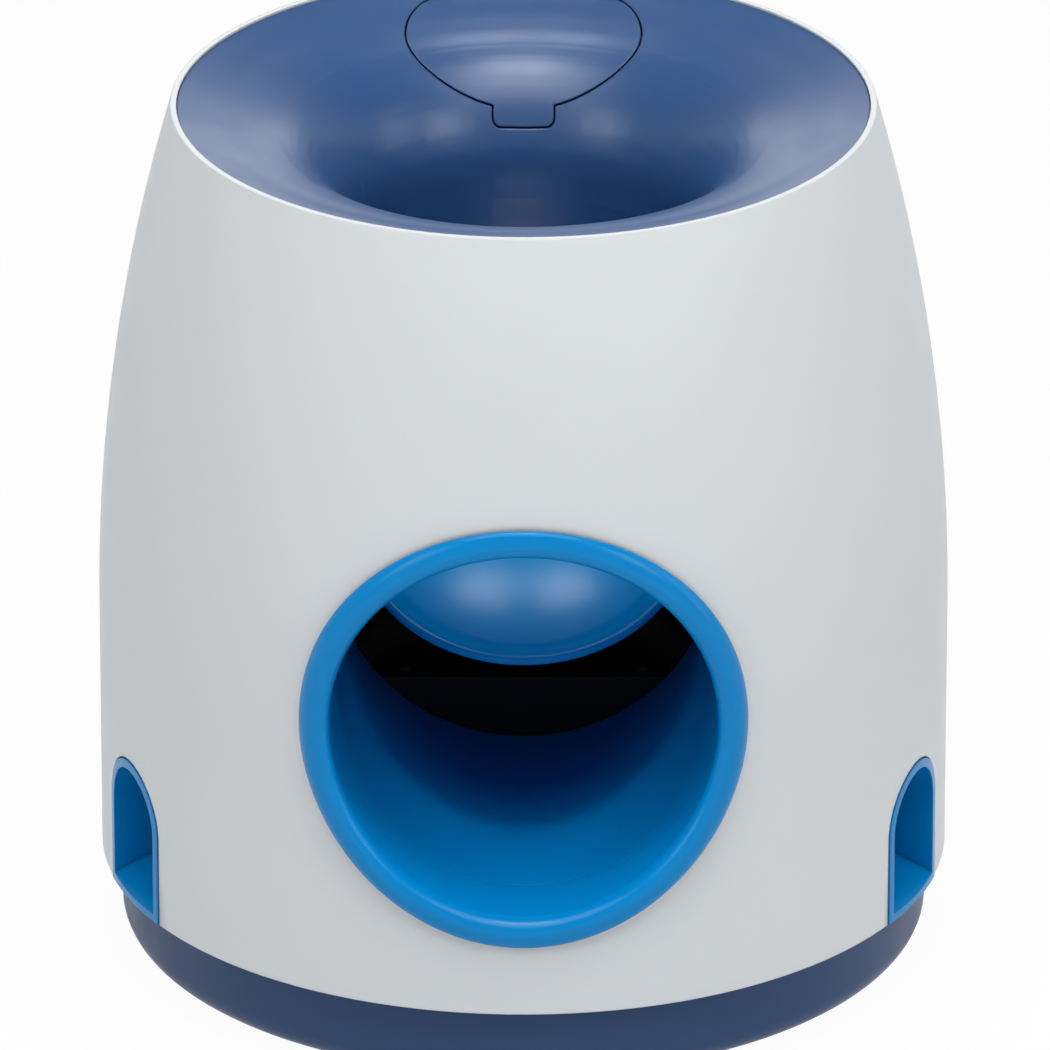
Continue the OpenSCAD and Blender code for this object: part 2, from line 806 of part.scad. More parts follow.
module axle_bushes() color(brass) difference() {
    union() {
        both_sides(cheek_x, cheek_t) translate(axle_c) circle(bush_r);
        both_sides(cheek_x + cheek_t, bush_flange) translate(axle_c) circle(bush_r + bush_flange);
    }
    along_x(-far, far) translate(axle_c) circle(axle_r + run_gap);
}

module flap_axle() color(steel)
    along_x(-axle_half, axle_half) translate(axle_c) circle(axle_r);

// Bore for the axle in the pieces that turn with it
module axle_bore() {
    along_x(-far, far) translate(axle_c) circle(axle_r + pilot_gap / 2);
}

module ball_flap() color(light_blue) difference() {
    union() {
        translate(flap_c) rotate([flap_tilt, 0, 0]) {
            rotate_extrude() {
                translate([0, -flap_dip - flap_t]) square([flap_floor, flap_t]);
                arc_band(bend_c, flap_arc + flap_t, flap_t, -90, -90 + flap_turn);
                translate(bend_c + (flap_arc + flap_edge) * [sin(flap_turn), -cos(flap_turn)])
                    circle(flap_edge);
            }
        }
        // Arm and hub behind the dish
        translate([0, axle_y, axle_z]) rotate([flap_tilt, 0, 0])
            translate([-arm_w / 2, -arm_l, -arm_t / 2]) cube([arm_w, arm_l, arm_t]);
        along_x(-hub_w, hub_w) translate(axle_c) circle(hub_r);
    }
    axle_bore();
}

module metering_shutter() color(light_blue) difference() {
    union() {
        along_x(-shutter_x, shutter_x)
            arc_band(axle_c, shutter_r, shutter_t, outlet_a + shutter_from, outlet_a + shutter_to);
        both_sides(rib_x, rib_t) {
            translate(axle_c) circle(hub_r);
            pie(axle_c, shutter_r - shutter_t / 2, outlet_a + shutter_from / 2, outlet_a + shutter_to / 2);
        }
    }
    axle_bore();
}

// Outline of a counterweight lever, from the axle to the eye of its weight
module lever_outline() {
    translate(axle_c) {
        circle(lever_hub_r);
        rotate(atan2(weight_c.y, weight_c.x)) translate([0, -lever_w])
            square([norm(weight_c), 2 * lever_w]);
        translate(weight_c) circle(weight_r + eye_t);
    }
}

module counterweight_levers() color(light_blue) difference() {
    both_sides(lever_x, lever_t) lever_outline();
    axle_bore();
    along_x(-far, far) translate(axle_c + weight_c) circle(weight_r + pilot_gap / 2);
}

module counterweights() color(steel)
    both_sides(weight_x, weight_l) translate(axle_c + weight_c) circle(weight_r);

// Treat slide and exits

// Places children at the foot of the right slide, with local Y up the slide
module at_slide() {
    translate(slide_end) rotate([slide_rise, 0, slide_turn]) children();
}

// Right half of the toy
module right_half() {
    translate([0, -far, 0]) cube([far, 2 * far, far]);
}

// Everything under the right slide's floor
module under_slide() {
    intersection() {
        at_slide() translate([-far, -far, -2 * far - slide_t / 2]) cube([2 * far, 2 * far, 2 * far]);
        right_half();
    }
}

module slide_half() {
    intersection() {
        at_slide() difference() {
            translate([-slide_w / 2 - slide_t, -slide_w / 2, -slide_t])
                cube([slide_w + 2 * slide_t, slide_run + 2 * slide_w, slide_t + slide_wall]);
            translate([-slide_w / 2, -slide_w, 0]) cube([slide_w, slide_run + 4 * slide_w, far]);
        }
        right_half();
        column(slide_r);
    }
}

module treat_slide() color(navy) difference() {
    union() {
        for (s = [0, 1]) mirror([s, 0, 0]) slide_half();
        intersection() {
            for (p = slide_legs) translate([p.x, p.y, leg_seat]) cylinder(r = leg_r, h = far);
            for (s = [0, 1]) mirror([s, 0, 0]) under_slide();
        }
    }
    for (s = [-1, 1]) arch_run(s * exit_az, gap, duct_in - gap, far);
    along_chute(sleeve_r + gap, -far, end_t + gap);
    for (p = slide_legs) translate([p.x, p.y, leg_seat - 1])
        cylinder(r = screw_r + pilot_gap, h = leg_bite + tip_room + 1);
}

module exit_duct(az) color(light_blue) difference() {
    intersection() {
        union() {
            arch_run(az, -gap, duct_in, far);
            intersection() {
                arch_run(az, collar_w, duct_in, far);
                difference() {
                    column(shell_r - shell_wall - gap);
                    column(shell_r - shell_wall - gap - collar_t);
                }
            }
        }
        column(shell_r + duct_lip);
    }
    // Tunnel above the sloping floor
    intersection() {
        arch_run(az, -gap - duct_t, duct_in - 1, far);
        rotate([0, 0, az - 90]) rotate([90, 0, 0]) translate([0, 0, -far / 2]) linear_extrude(far)
            polygon([[duct_in - 1, duct_floor(duct_in - 1)], [far, duct_floor(far)], [far, far],
                [duct_in - 1, far]]);
    }
}

module exit_duct_left() exit_duct(-exit_az);
module exit_duct_right() exit_duct(exit_az);

base_pan();
foot_ring();
base_screws();
body_shell();
funnel();
funnel_screws();
fill_lid();
lid_hinge_pin();
hopper();
hopper_screws();
chute_bezel();
chute_ring();
ball_chute();
ball_guide();
chute_screws();
axle_bushes();
flap_axle();
ball_flap();
metering_shutter();
counterweight_levers();
counterweights();
treat_slide();
slide_screws();
exit_duct_left();
exit_duct_right();
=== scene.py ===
"""Looks of the dog treat puzzle: moulded plastics, soft studio light and the photo's angle."""
import math

import bpy
import bmesh
from mathutils import Matrix, Vector


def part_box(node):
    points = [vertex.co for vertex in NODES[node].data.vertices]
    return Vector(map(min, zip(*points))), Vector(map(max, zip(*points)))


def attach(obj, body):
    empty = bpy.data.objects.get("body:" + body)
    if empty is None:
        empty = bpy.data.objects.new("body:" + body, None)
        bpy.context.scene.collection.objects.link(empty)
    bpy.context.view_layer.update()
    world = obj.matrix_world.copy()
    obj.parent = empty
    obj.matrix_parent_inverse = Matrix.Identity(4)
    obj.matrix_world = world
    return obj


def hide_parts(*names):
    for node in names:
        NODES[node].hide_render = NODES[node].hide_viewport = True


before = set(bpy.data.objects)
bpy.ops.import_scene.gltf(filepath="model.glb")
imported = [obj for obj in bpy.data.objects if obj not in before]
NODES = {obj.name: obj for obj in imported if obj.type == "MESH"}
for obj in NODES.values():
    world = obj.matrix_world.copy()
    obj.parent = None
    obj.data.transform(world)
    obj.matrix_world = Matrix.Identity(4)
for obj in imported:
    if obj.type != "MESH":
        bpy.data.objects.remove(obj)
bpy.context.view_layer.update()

MM = 0.001


def linear(r, g, b):
    """Linear colour of an sRGB colour given from 0 to 255."""
    def one(v):
        v = v / 255
        return v / 12.92 if v <= 0.04045 else ((v + 0.055) / 1.055) ** 2.4
    return (one(r), one(g), one(b), 1.0)


# Colours of the mouldings and metals
SHELL_GREY = linear(215, 219, 222)
FUNNEL_BLUE = linear(40, 78, 128)
LIGHT_BLUE = linear(0, 130, 198)
# Painted light: a lighter copy of the light blue for the flap, standing in for the light that falls
# on it through the throat
FLAP_LIT_BLUE = linear(0, 152, 224)
NAVY = linear(46, 72, 112)
# Near-black inner parts: partly their dark plastic, partly painted shade for the dark inside of the
# toy
INNER_SHADE_NAVY = linear(14, 16, 22)
STEEL = linear(186, 188, 192)
BRASS = linear(176, 141, 76)
RUBBER = linear(30, 32, 35)

# Surface detail of the plastics: noise scales per metre, sizes in metres
FLOW_SCALE = 18
GLOSS_SCALE = 60
GLOSS_SPREAD = 0.12
WAVE_SCALE = 45
WAVE_STRENGTH = 0.08
WAVE_DEPTH = 0.0004
GRAIN_DEPTH = 0.00012
COARSE_GRAIN = 2600
FINE_GRAIN = 2200
EDGE_ROUND = 0.5 * MM
EDGE_FADE = (0.99, 0.75)
# Painted shade: colour darkened in narrow gaps and crevices, where shade falls
GAP_SHADE_REACH = 1.6 * MM
GAP_SHADE_FADE = (0.25, 0.75)
GAP_SHADE_AMOUNT = 0.75
GAP_SHADE_TONE = 0.12

# Surface detail of the metals and the rubber
STREAK_SCALE = 900
STREAK_DEPTH = 0.00008
POLISH_SCALE = 300
PEBBLE_SCALE = 1400
PEBBLE_DEPTH = 0.0002


# Materials

def tone(color, factor):
    """The colour made lighter or darker."""
    return tuple(min(1.0, c * factor) for c in color[:3]) + (1.0,)


class Graph:
    """Short calls for the nodes of one material."""

    def __init__(self, name):
        self.mat = bpy.data.materials.new(name)
        self.mat.use_nodes = True
        self.tree = self.mat.node_tree
        self.tree.nodes.clear()
        self.out = self.node("ShaderNodeOutputMaterial")
        self.shader = self.node("ShaderNodeBsdfPrincipled")
        self.link(self.shader.outputs["BSDF"], self.out.inputs["Surface"])
        self.coords = self.node("ShaderNodeTexCoord").outputs["Object"]

    def node(self, kind, **values):
        made = self.tree.nodes.new(kind)
        for key, value in values.items():
            setattr(made, key, value)
        return made

    def link(self, a, b):
        self.tree.links.new(a, b)

    def noise(self, scale, detail=2.0, roughness=0.5):
        made = self.node("ShaderNodeTexNoise")
        made.inputs["Scale"].default_value = scale
        made.inputs["Detail"].default_value = detail
        made.inputs["Roughness"].default_value = roughness
        self.link(self.coords, made.inputs["Vector"])
        return made.outputs["Fac"]

    def ramp(self, fac, low, high):
        """Colour that goes from low to high over the middle of a value's range."""
        made = self.node("ShaderNodeValToRGB")
        for stop, place, color in zip(made.color_ramp.elements, (0.3, 0.7), (low, high)):
            stop.position = place
            stop.color = color
        self.link(fac, made.inputs["Fac"])
        return made.outputs["Color"]

    def spread(self, fac, low, high, start=0.3, end=0.7):
        """Value that goes from low to high while another goes from start to end."""
        made = self.node("ShaderNodeMapRange")
        made.inputs["From Min"].default_value = start
        made.inputs["From Max"].default_value = end
        made.inputs["To Min"].default_value = low
        made.inputs["To Max"].default_value = high
        self.link(fac, made.inputs["Value"])
        return made.outputs["Result"]

    def bump(self, height, strength, distance, under=None):
        made = self.node("ShaderNodeBump")
        made.inputs["Strength"].default_value = strength
        made.inputs["Distance"].default_value = distance
        self.link(height, made.inputs["Height"])
        if under is not None:
            self.link(under, made.inputs["Normal"])
        return made.outputs["Normal"]

    def soft_edges(self, radius):
        """Normal that rounds sharp edges off, and a value that is 1 along those edges."""
        bevel = self.node("ShaderNodeBevel", samples=4)
        bevel.inputs["Radius"].default_value = radius
        plain = self.node("ShaderNodeNewGeometry").outputs["Normal"]
        along = self.node("ShaderNodeVectorMath", operation="DOT_PRODUCT")
        self.link(bevel.outputs["Normal"], along.inputs[0])
        self.link(plain, along.inputs[1])
        return bevel.outputs["Normal"], self.spread(along.outputs["Value"], 0.0, 1.0, *EDGE_FADE)

    def painted_gap_shade(self, reach, amount):
        """Mask of painted shade: 0 in the open, rising to an amount deep in narrow gaps."""
        near = self.node("ShaderNodeAmbientOcclusion", samples=6)
        near.inputs["Distance"].default_value = reach
        return self.spread(near.outputs["AO"], amount, 0.0, *GAP_SHADE_FADE)

    def blend(self, fac, a, b):
        made = self.node("ShaderNodeMix", data_type="RGBA")
        self.link(fac, made.inputs["Factor"])
        self.link(a, made.inputs["A"])
        made.inputs["B"].default_value = b
        return made.outputs["Result"]


def plastic(name, color, rough, grain, grain_strength, variation=0.03, specular=0.3, edge=1.15):
    """Moulded plastic: flow marks, uneven gloss, a grain, rubbed edges and painted shade in the
    gaps.
    """
    g = Graph(name)
    rounded, edges = g.soft_edges(EDGE_ROUND)
    flow = g.noise(FLOW_SCALE, 3, 0.55)
    shade = g.ramp(flow, tone(color, 1 - variation), tone(color, 1 + variation))
    rubbed = g.blend(edges, shade, tone(color, edge))
    # Painted shade: the colour darkens in narrow gaps between and within parts
    gap_shaded = g.blend(g.painted_gap_shade(GAP_SHADE_REACH, GAP_SHADE_AMOUNT), rubbed, tone(color, GAP_SHADE_TONE))
    g.link(gap_shaded, g.shader.inputs["Base Color"])
    gloss = g.noise(GLOSS_SCALE, 4, 0.6)
    uneven = g.spread(gloss, rough * (1 - GLOSS_SPREAD), rough * (1 + GLOSS_SPREAD))
    g.link(uneven, g.shader.inputs["Roughness"])
    g.shader.inputs["Specular IOR Level"].default_value = specular
    wave = g.bump(g.noise(WAVE_SCALE, 1), WAVE_STRENGTH, WAVE_DEPTH, rounded)
    fine = g.bump(g.noise(grain, 2), grain_strength, GRAIN_DEPTH, wave)
    g.link(fine, g.shader.inputs["Normal"])
    return g.mat


def metal(name, color, rough):
    """Turned or plated metal with fine streaks."""
    g = Graph(name)
    streak = g.noise(STREAK_SCALE, 3, 0.7)
    g.link(g.ramp(streak, tone(color, 0.85), tone(color, 1.08)), g.shader.inputs["Base Color"])
    g.shader.inputs["Metallic"].default_value = 1.0
    polish = g.spread(g.noise(POLISH_SCALE, 3), rough * 0.7, rough * 1.3)
    g.link(polish, g.shader.inputs["Roughness"])
    g.link(g.bump(streak, 0.12, STREAK_DEPTH), g.shader.inputs["Normal"])
    return g.mat


def rubber(name, color):
    """Matt rubber with a pebbled skin."""
    g = Graph(name)
    shade = g.ramp(g.noise(40, 3), tone(color, 0.8), tone(color, 1.25))
    g.link(shade, g.shader.inputs["Base Color"])
    g.link(g.spread(g.noise(120, 2), 0.65, 0.85), g.shader.inputs["Roughness"])
    g.link(g.bump(g.noise(PEBBLE_SCALE, 2), 0.35, PEBBLE_DEPTH), g.shader.inputs["Normal"])
    return g.mat


MATERIALS = {
    "shell": plastic("shell_plastic", SHELL_GREY, 0.42, COARSE_GRAIN, 0.10, 0.012, edge=1.0),
    "funnel": plastic("funnel_plastic", FUNNEL_BLUE, 0.32, COARSE_GRAIN, 0.08, specular=0.62),
    "blue": plastic("blue_plastic", LIGHT_BLUE, 0.20, FINE_GRAIN, 0.03, specular=0.18),
    "flap": plastic("flap_lit_plastic", FLAP_LIT_BLUE, 0.19, FINE_GRAIN, 0.03, specular=0.16),
    "navy": plastic("navy_plastic", NAVY, 0.40, COARSE_GRAIN, 0.12, 0.04, 0.2),
    "inner": plastic("inner_shade_plastic", INNER_SHADE_NAVY, 0.5, COARSE_GRAIN, 0.12, 0.05, 0.2),
    "steel": metal("zinc_steel", STEEL, 0.3),
    "brass": metal("turned_brass", BRASS, 0.28),
    "rubber": rubber("foot_rubber", RUBBER),
}

# Nodes of each material; every node that isn't named here is light blue
MATERIAL_NODES = {
    "shell": ["body_shell"],
    "funnel": ["funnel", "fill_lid"],
    "navy": ["base_pan"],
    "rubber": ["foot_ring"],
    "inner": ["hopper", "ball_guide", "treat_slide"],
    "brass": ["axle_bushes"],
    "steel": ["base_screws", "funnel_screws", "hopper_screws", "chute_screws", "slide_screws",
              "lid_hinge_pin", "flap_axle", "counterweights"],
}


def paint_nodes():
    """Gives every CAD node its material."""
    named = {node: key for key, nodes in MATERIAL_NODES.items() for node in nodes}
    for name, obj in NODES.items():
        obj.data.materials.clear()
        obj.data.materials.append(MATERIALS[named.get(name, "blue")])


# Pieces made here, measured in millimetres

SCALE = Matrix.Scale(MM, 4)
AS_IT_IS = Matrix.Identity(4)
TO_X = Matrix.Rotation(math.pi / 2, 4, "Y")
TO_FRONT = Matrix.Rotation(math.pi / 2, 4, "X")
SHARP_ANGLE = 35
ROUND_STEPS = 144


def add_piece(name, bm, material, body, nodes, sharp=SHARP_ANGLE):
    """Object of a finished mesh, in metres, that rides on a body and stands for CAD nodes."""
    bmesh.ops.recalc_face_normals(bm, faces=bm.faces)
    mesh = bpy.data.meshes.new(name)
    bm.to_mesh(mesh)
    bm.free()
    mesh.shade_smooth()
    mesh.set_sharp_from_angle(angle=math.radians(sharp))
    mesh.materials.append(MATERIALS[material])
    piece = bpy.data.objects.new(name, mesh)
    bpy.context.scene.collection.objects.link(piece)
    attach(piece, body)
    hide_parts(*nodes)


def point(bm, place, x, y, z):
    """New point of a mesh, given in millimetres."""
    return bm.verts.new(SCALE @ place @ Vector((x, y, z)))


def ring(bm, place, r, z, steps):
    """Circle of points, or one point on the axis."""
    count = steps if r > 0 else 1
    turns = [2 * math.pi * k / steps for k in range(count)]
    return [point(bm, place, r * math.cos(t), r * math.sin(t), z) for t in turns]


def skin(bm, a, b):
    """Band of faces between two rings."""
    count = max(len(a), len(b))
    if count == 1:
        return
    for k in range(count):
        n = k + 1
        corners = [a[k % len(a)], a[n % len(a)], b[n % len(b)], b[k % len(b)]]
        bm.faces.new(list(dict.fromkeys(corners)))


def revolve(bm, outline, steps, place):
    """Closed body made by turning a closed outline of (radius, height) points."""
    rings = [ring(bm, place, r, z, steps) for r, z in outline]
    for a, b in zip(rings, rings[1:] + rings[:1]):
        skin(bm, a, b)


# Funnel and lid: copies of their solids, drawn out into a flat dish with a long bell
RIM_R = 68.44
RIM_Z = 176.55
RIM_SLOPE = math.radians(12)
BELL_SLOPE = math.radians(19)
BELL_R = 26
THROAT_R = 34
DISH_W = RIM_R - THROAT_R - BELL_R * (1 - math.sin(BELL_SLOPE))
DISH_R = DISH_W / (math.sin(BELL_SLOPE) - math.sin(RIM_SLOPE))
BELL_TOP = RIM_Z - DISH_R * (math.cos(RIM_SLOPE) - math.cos(BELL_SLOPE))
BELL_END = BELL_TOP - BELL_R * math.cos(BELL_SLOPE)
THROAT_FADE = (128, 131)
OUTER_FADE = (56, 61.5)
WALL_FADE = (5, 10)
SLICE_AT = 0.37
SLICE_NEAR = 0.01
SLICE_SNAP = 0.001
WELD = 0.002
SHORTEST_EDGE = 0.004
FALL = 0.447
FALL_ROUNDS = 12
BACK_FADE = (math.radians(30), math.radians(75))
CORNER_X = (14, 17)
CORNER_Y = (57, 60.5)
CORNER_DROP = 0.35
FUNNEL_SHARP = 50


def fade(value, start, end):
    """1 before start, 0 after end, smooth between."""
    t = min(1, max(0, (value - start) / (end - start)))
    return 1 - t * t * (3 - 2 * t)


def bell_r(z):
    """Radius of the drawn curve at a height: dish, bell, then a straight throat."""
    if z > BELL_TOP:
        slope = math.acos(min(1, math.cos(RIM_SLOPE) - (RIM_Z - z) / DISH_R))
        return RIM_R - DISH_R * (math.sin(slope) - math.sin(RIM_SLOPE))
    rise = max(0, z - BELL_END)
    return THROAT_R + BELL_R - math.sqrt(BELL_R ** 2 - rise ** 2)


def sliced(node):
    """Bare copy of a node's mesh, cut across once in every millimetre of height near the throat."""
    solid = NODES[node].data
    bm = bmesh.new()
    verts = [bm.verts.new(v.co) for v in solid.vertices]
    for face in solid.polygons:
        bm.faces.new([verts[k] for k in face.vertices])
    bmesh.ops.remove_doubles(bm, verts=bm.verts, dist=WELD * MM)
    for z in range(THROAT_FADE[0], int(RIM_Z)):
        near = [f for f in bm.faces if min(v.co.xy.length for v in f.verts) < OUTER_FADE[1] * MM]
        parts = {e for f in near for e in f.edges} | {v for f in near for v in f.verts}
        bmesh.ops.bisect_plane(bm, geom=near + list(parts), plane_co=(0, 0, (z + SLICE_AT) * MM),
                               plane_no=(0, 0, 1), dist=SLICE_SNAP * MM)
    bmesh.ops.dissolve_degenerate(bm, edges=bm.edges, dist=SHORTEST_EDGE * MM)
    return bm


def solid_radii(bm):
    """Inner radius of the funnel's solid at each cut."""
    radii = {}
    for v in bm.verts:
        height = v.co.z / MM - SLICE_AT
        cut = round(height)
        if abs(height - cut) < SLICE_NEAR:
            radii[cut] = min(radii.get(cut, RIM_R), v.co.xy.length / MM)
    return radii


def way_out(z, solid_r):
    """Way from the solid's curve to the drawn curve, on a line that falls as it goes outward."""
    way = 0
    for k in range(FALL_ROUNDS):
        way += (bell_r(z - FALL * way) - solid_r - way) / 2
    return way


def draw_out(bm, radii):
    """Moves the funnel's wall onto the drawn curve, and keeps the width of the lid at the back."""
    low, high = min(radii), max(radii)
    for v in bm.verts:
        r = v.co.xy.length / MM
        z = v.co.z / MM
        cut = math.floor(z - SLICE_AT)
        if not low <= cut < high:
            continue
        part = z - SLICE_AT - cut
        solid_r = radii[cut] * (1 - part) + radii[cut + 1] * part
        way = way_out(z, solid_r) * (1 - fade(z, *THROAT_FADE))
        way *= fade(r, *OUTER_FADE) * fade(r - solid_r, *WALL_FADE)
        out = r + way
        turn = math.atan2(v.co.x, v.co.y)
        kept = math.asin(max(-1, min(1, r * math.sin(turn) / out)))
        turn += (kept - turn) * fade(abs(turn), *BACK_FADE)
        v.co = SCALE @ Vector((out * math.sin(turn), out * math.cos(turn), z - FALL * way))


def ease_corners(lid):
    """Lowers the lid's upper face at its rear corners, to clear the shell's rim when open."""
    lid.normal_update()
    for v in lid.verts:
        if v.normal.z > 0:
            aside = 1 - fade(abs(v.co.x) / MM, *CORNER_X)
            behind = 1 - fade(v.co.y / MM, *CORNER_Y)
            v.co.z -= CORNER_DROP * (aside * behind) * MM


def make_funnel():
    funnel = sliced("funnel")
    lid = sliced("fill_lid")
    radii = solid_radii(funnel)
    draw_out(funnel, radii)
    draw_out(lid, radii)
    ease_corners(lid)
    add_piece("bell_funnel", funnel, "funnel", "housing", ["funnel"], FUNNEL_SHARP)
    add_piece("bell_lid", lid, "funnel", "lid", ["fill_lid"], FUNNEL_SHARP)


# Bezel: the roll of its solid in finer steps, with its outer edge tucked under
SHELL_R = 85
BELLY_H = 70
BELLY_ARC = 384
CHUTE_Z = 77
CHUTE_R = 38
SLEEVE_R = 40
SLEEVE_Y = -70
BEZEL_W = 6
BEZEL_H = 2.2
BEZEL_CURVE = 100
BEZEL_SEAT = 0.25
BEZEL_DIP = 3.5
BEZEL_STEPS = 180
BEAD_STEPS = 24
TUCK_RISE = 0.35
TUCK_IN = 1.4


def shell_out(z):
    """Outer radius of the shell at a height."""
    return SHELL_R - BELLY_ARC + math.sqrt(BELLY_ARC ** 2 - max(z - BELLY_H, 0) ** 2)


def seat_y(x, z):
    """Depth at which the bezel sits on the shell."""
    return -math.sqrt((shell_out(z) + BEZEL_SEAT) ** 2 - x ** 2)


def crest_y(x, z):
    """Depth of the bezel's crest."""
    return BEZEL_CURVE - shell_out(z) - BEZEL_H - math.sqrt(BEZEL_CURVE ** 2 - x ** 2)


def on_ring(r, turn):
    """Place across and up on a ring round the chute's middle."""
    return r * math.cos(turn), CHUTE_Z + r * math.sin(turn)


def bezel_points(turn):
    """Cross-section of the bezel at one turn: its sleeve, then the bead from outside to inside."""
    x, z = on_ring(SLEEVE_R, turn)
    inner_x, inner_z = on_ring(CHUTE_R, turn)
    points = [(inner_x, SLEEVE_Y, inner_z), (x, SLEEVE_Y, z), (x, seat_y(x, z), z)]
    x, z = on_ring(CHUTE_R + BEZEL_W - TUCK_IN, turn)
    points.append((x, seat_y(x, z), z))
    for k in range(BEAD_STEPS + 1):
        a = math.pi * k / BEAD_STEPS
        x, z = on_ring(CHUTE_R + BEZEL_W / 2 * (1 + math.cos(a)), turn)
        crest = crest_y(x, z)
        outside = a < math.pi / 2
        foot = seat_y(x, z) if outside else crest + BEZEL_DIP
        start = TUCK_RISE if outside else 0
        points.append((x, foot + (crest - foot) * (start + (1 - start) * math.sin(a)), z))
    return points


def make_bezel():
    bm = bmesh.new()
    loops = []
    for i in range(BEZEL_STEPS):
        section = bezel_points(2 * math.pi * i / BEZEL_STEPS)
        loops.append([point(bm, AS_IT_IS, *p) for p in section])
    for a, b in zip(loops, loops[1:] + loops[:1]):
        skin(bm, a, b)
    add_piece("bezel_roll", bm, "blue", "housing", ["chute_bezel"])


# Flap: a bowl with a turned-up wall, its arm and its hub
FLAP_C = (0, -3, 86.5)
FLAP_TILT = math.radians(29)
FLAP_R = 34
FLAP_T = 2
FLOOR_R = 26
FLOOR_SAG = 3.1
DISH_DEPTH = 6.6
FLOOR_STEPS = 16
WALL_STEPS = 10
LIP_STEPS = 8
AXLE = (0, 42, 106)
HUB_R = 5.5
HUB_W = 10
HUB_STEPS = 64
BORE_R = 2.05
ARM = (14, 21, 3.5)
CHAMFER = 0.5
CHAMFER_STEPS = 3


def dish_outline():
    """Outline of the bowl: its upper face, the round lip and its lower face."""
    bowl = (FLOOR_R ** 2 + FLOOR_SAG ** 2) / (2 * FLOOR_SAG)
    turn = math.asin(FLOOR_R / bowl)
    width = FLAP_R - FLOOR_R - FLAP_T
    last = 2 * math.atan((DISH_DEPTH - FLOOR_SAG) / width) - turn
    arc = width / (math.sin(last) - math.sin(turn))
    upper = []
    for k in range(FLOOR_STEPS + 1):
        s = turn * k / FLOOR_STEPS
        upper.append((bowl * math.sin(s), bowl * (1 - math.cos(s)) - DISH_DEPTH, s))
    for k in range(1, WALL_STEPS + 1):
        s = turn + (last - turn) * k / WALL_STEPS
        upper.append((FLOOR_R + arc * (math.sin(s) - math.sin(turn)),
                      FLOOR_SAG - DISH_DEPTH + arc * (math.cos(turn) - math.cos(s)), s))
    edge = FLAP_T / 2
    r, z, s = upper[-1]
    lip = []
    for k in range(1, LIP_STEPS):
        q = s + math.pi * (1 - k / LIP_STEPS)
        lip.append((r + edge * (math.sin(s) + math.sin(q)), z - edge * (math.cos(s) + math.cos(q))))
    lower = [(r + FLAP_T * math.sin(s), z - FLAP_T * math.cos(s)) for r, z, s in reversed(upper)]
    return [(r, z) for r, z, s in upper] + lip + lower


def block(bm, size, place):
    """Bar with rounded edges."""
    shape = SCALE @ place @ Matrix.Diagonal((*size, 1))
    made = bmesh.ops.create_cube(bm, size=1, matrix=shape)
    edges = list({e for v in made["verts"] for e in v.link_edges})
    bmesh.ops.bevel(bm, geom=edges, offset=CHAMFER * MM, segments=CHAMFER_STEPS, profile=0.5,
                    affect="EDGES")


def make_flap():
    bm = bmesh.new()
    tilt = Matrix.Rotation(FLAP_TILT, 4, "X")
    revolve(bm, dish_outline(), ROUND_STEPS, Matrix.Translation(FLAP_C) @ tilt)
    block(bm, ARM, Matrix.Translation(AXLE) @ tilt @ Matrix.Translation((0, -ARM[1] / 2, 0)))
    rim = HUB_R - CHAMFER
    end = HUB_W - CHAMFER
    hub = [(BORE_R, -HUB_W), (rim, -HUB_W), (HUB_R, -end),
           (HUB_R, end), (rim, HUB_W), (BORE_R, HUB_W)]
    revolve(bm, hub, HUB_STEPS, Matrix.Translation(AXLE) @ TO_X)
    add_piece("flap_dish", bm, "flap", "flap", ["ball_flap"])


# Screws with a cross recess and a thread
HEAD_R = 3
HEAD_H = 2
CORE_R = 1.15
THREAD_R = 1.5
PITCH = 1.1
PITCH_STEPS = 6
RIDGE = 4
SCREW_STEPS = 24
SCREW_REACH = 2 * HEAD_R + 1
CROSS_ARM = 1.6
CROSS_W = 0.42
CROSS_DEPTH = 1.1
CROSS_TAPER = 0.6
HEAD_OUTLINE = [(2.3, -HEAD_H), (2.75, -1.75), (HEAD_R, -1.2), (HEAD_R, -0.15), (2.85, 0),
                (THREAD_R, 0)]
UPRIGHT_SCREWS = ["base_screws", "funnel_screws", "hopper_screws", "slide_screws"]
Y_AXIS = 1
Z_AXIS = 2


def cross(bm, place, size, z):
    """Outline of the cross recess."""
    arm = CROSS_ARM * size
    w = CROSS_W * size
    quarter = [(arm, -w), (arm, w), (w, w)]
    points = []
    for k in range(4):
        turn = Matrix.Rotation(k * math.pi / 2, 4, "Z")
        points += [turn @ Vector((x, y, 0)) for x, y in quarter]
    return [point(bm, place, p.x, p.y, p.z + z) for p in points]


def loop_edges(bm, loop):
    """Edges round a loop of points, made where there are none."""
    pairs = zip(loop, loop[1:] + loop[:1])
    return [bm.edges.get(pair) or bm.edges.new(pair) for pair in pairs]


def thread_ring(bm, place, z, length):
    """Ring of points on a helical thread that runs out to a point."""
    taper = min(1, (length - z) / THREAD_R)
    verts = []
    for k in range(SCREW_STEPS):
        phase = (z / PITCH + k / SCREW_STEPS) % 1
        r = (CORE_R + (THREAD_R - CORE_R) * max(0, 1 - RIDGE * abs(phase - 0.5))) * taper
        t = 2 * math.pi * k / SCREW_STEPS
        verts.append(point(bm, place, r * math.cos(t), r * math.sin(t), z))
    return verts


def screw(bm, place, length):
    """Pan-head screw with its head under the origin and its thread along +Z."""
    rings = [ring(bm, place, r, z, SCREW_STEPS) for r, z in HEAD_OUTLINE]
    count = int(length / PITCH * PITCH_STEPS)
    rings += [thread_ring(bm, place, length * k / count, length) for k in range(1, count)]
    rings.append(ring(bm, place, 0, length, SCREW_STEPS))
    for a, b in zip(rings, rings[1:]):
        skin(bm, a, b)
    mouth = cross(bm, place, 1, -HEAD_H)
    pit = cross(bm, place, CROSS_TAPER, CROSS_DEPTH - HEAD_H)
    skin(bm, mouth, pit)
    bm.faces.new(pit)
    bmesh.ops.bridge_loops(bm, edges=loop_edges(bm, rings[0]) + loop_edges(bm, mouth))


